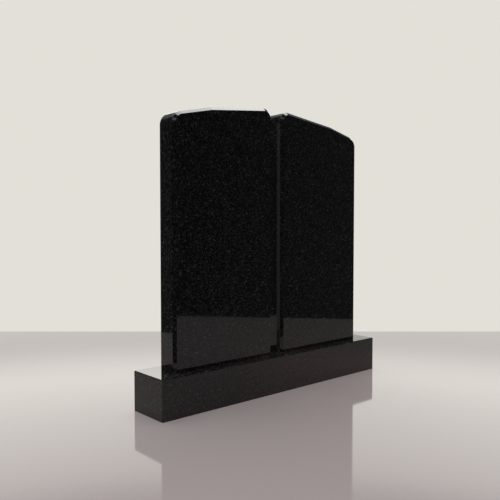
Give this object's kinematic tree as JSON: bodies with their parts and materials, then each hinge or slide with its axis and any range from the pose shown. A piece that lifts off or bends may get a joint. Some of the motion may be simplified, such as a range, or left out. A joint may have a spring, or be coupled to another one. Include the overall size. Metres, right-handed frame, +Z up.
{
  "type": "companion headstone",
  "caption": "Companion headstone of polished black granite: paired upright tablets with an open slot between them, tops in one shallow gable, on a long base.",
  "frame": {"origin": "middle of the base's underside, on the ground", "axes": "+X along the base, towards the right tablet as seen from the front; -Y out of the front faces; +Z up"},
  "size_m": [1.2, 0.19, 1.1647],
  "materials": {
    "base_granite": "polished black granite with fine grey flecks",
    "tablet_granite": "polished black granite with fine grey flecks"
  },
  "bodies": {
    "root": {"base": "base_granite", "tablet_left": "tablet_granite", "tablet_right": "tablet_granite"}
  },
  "joints": []
}
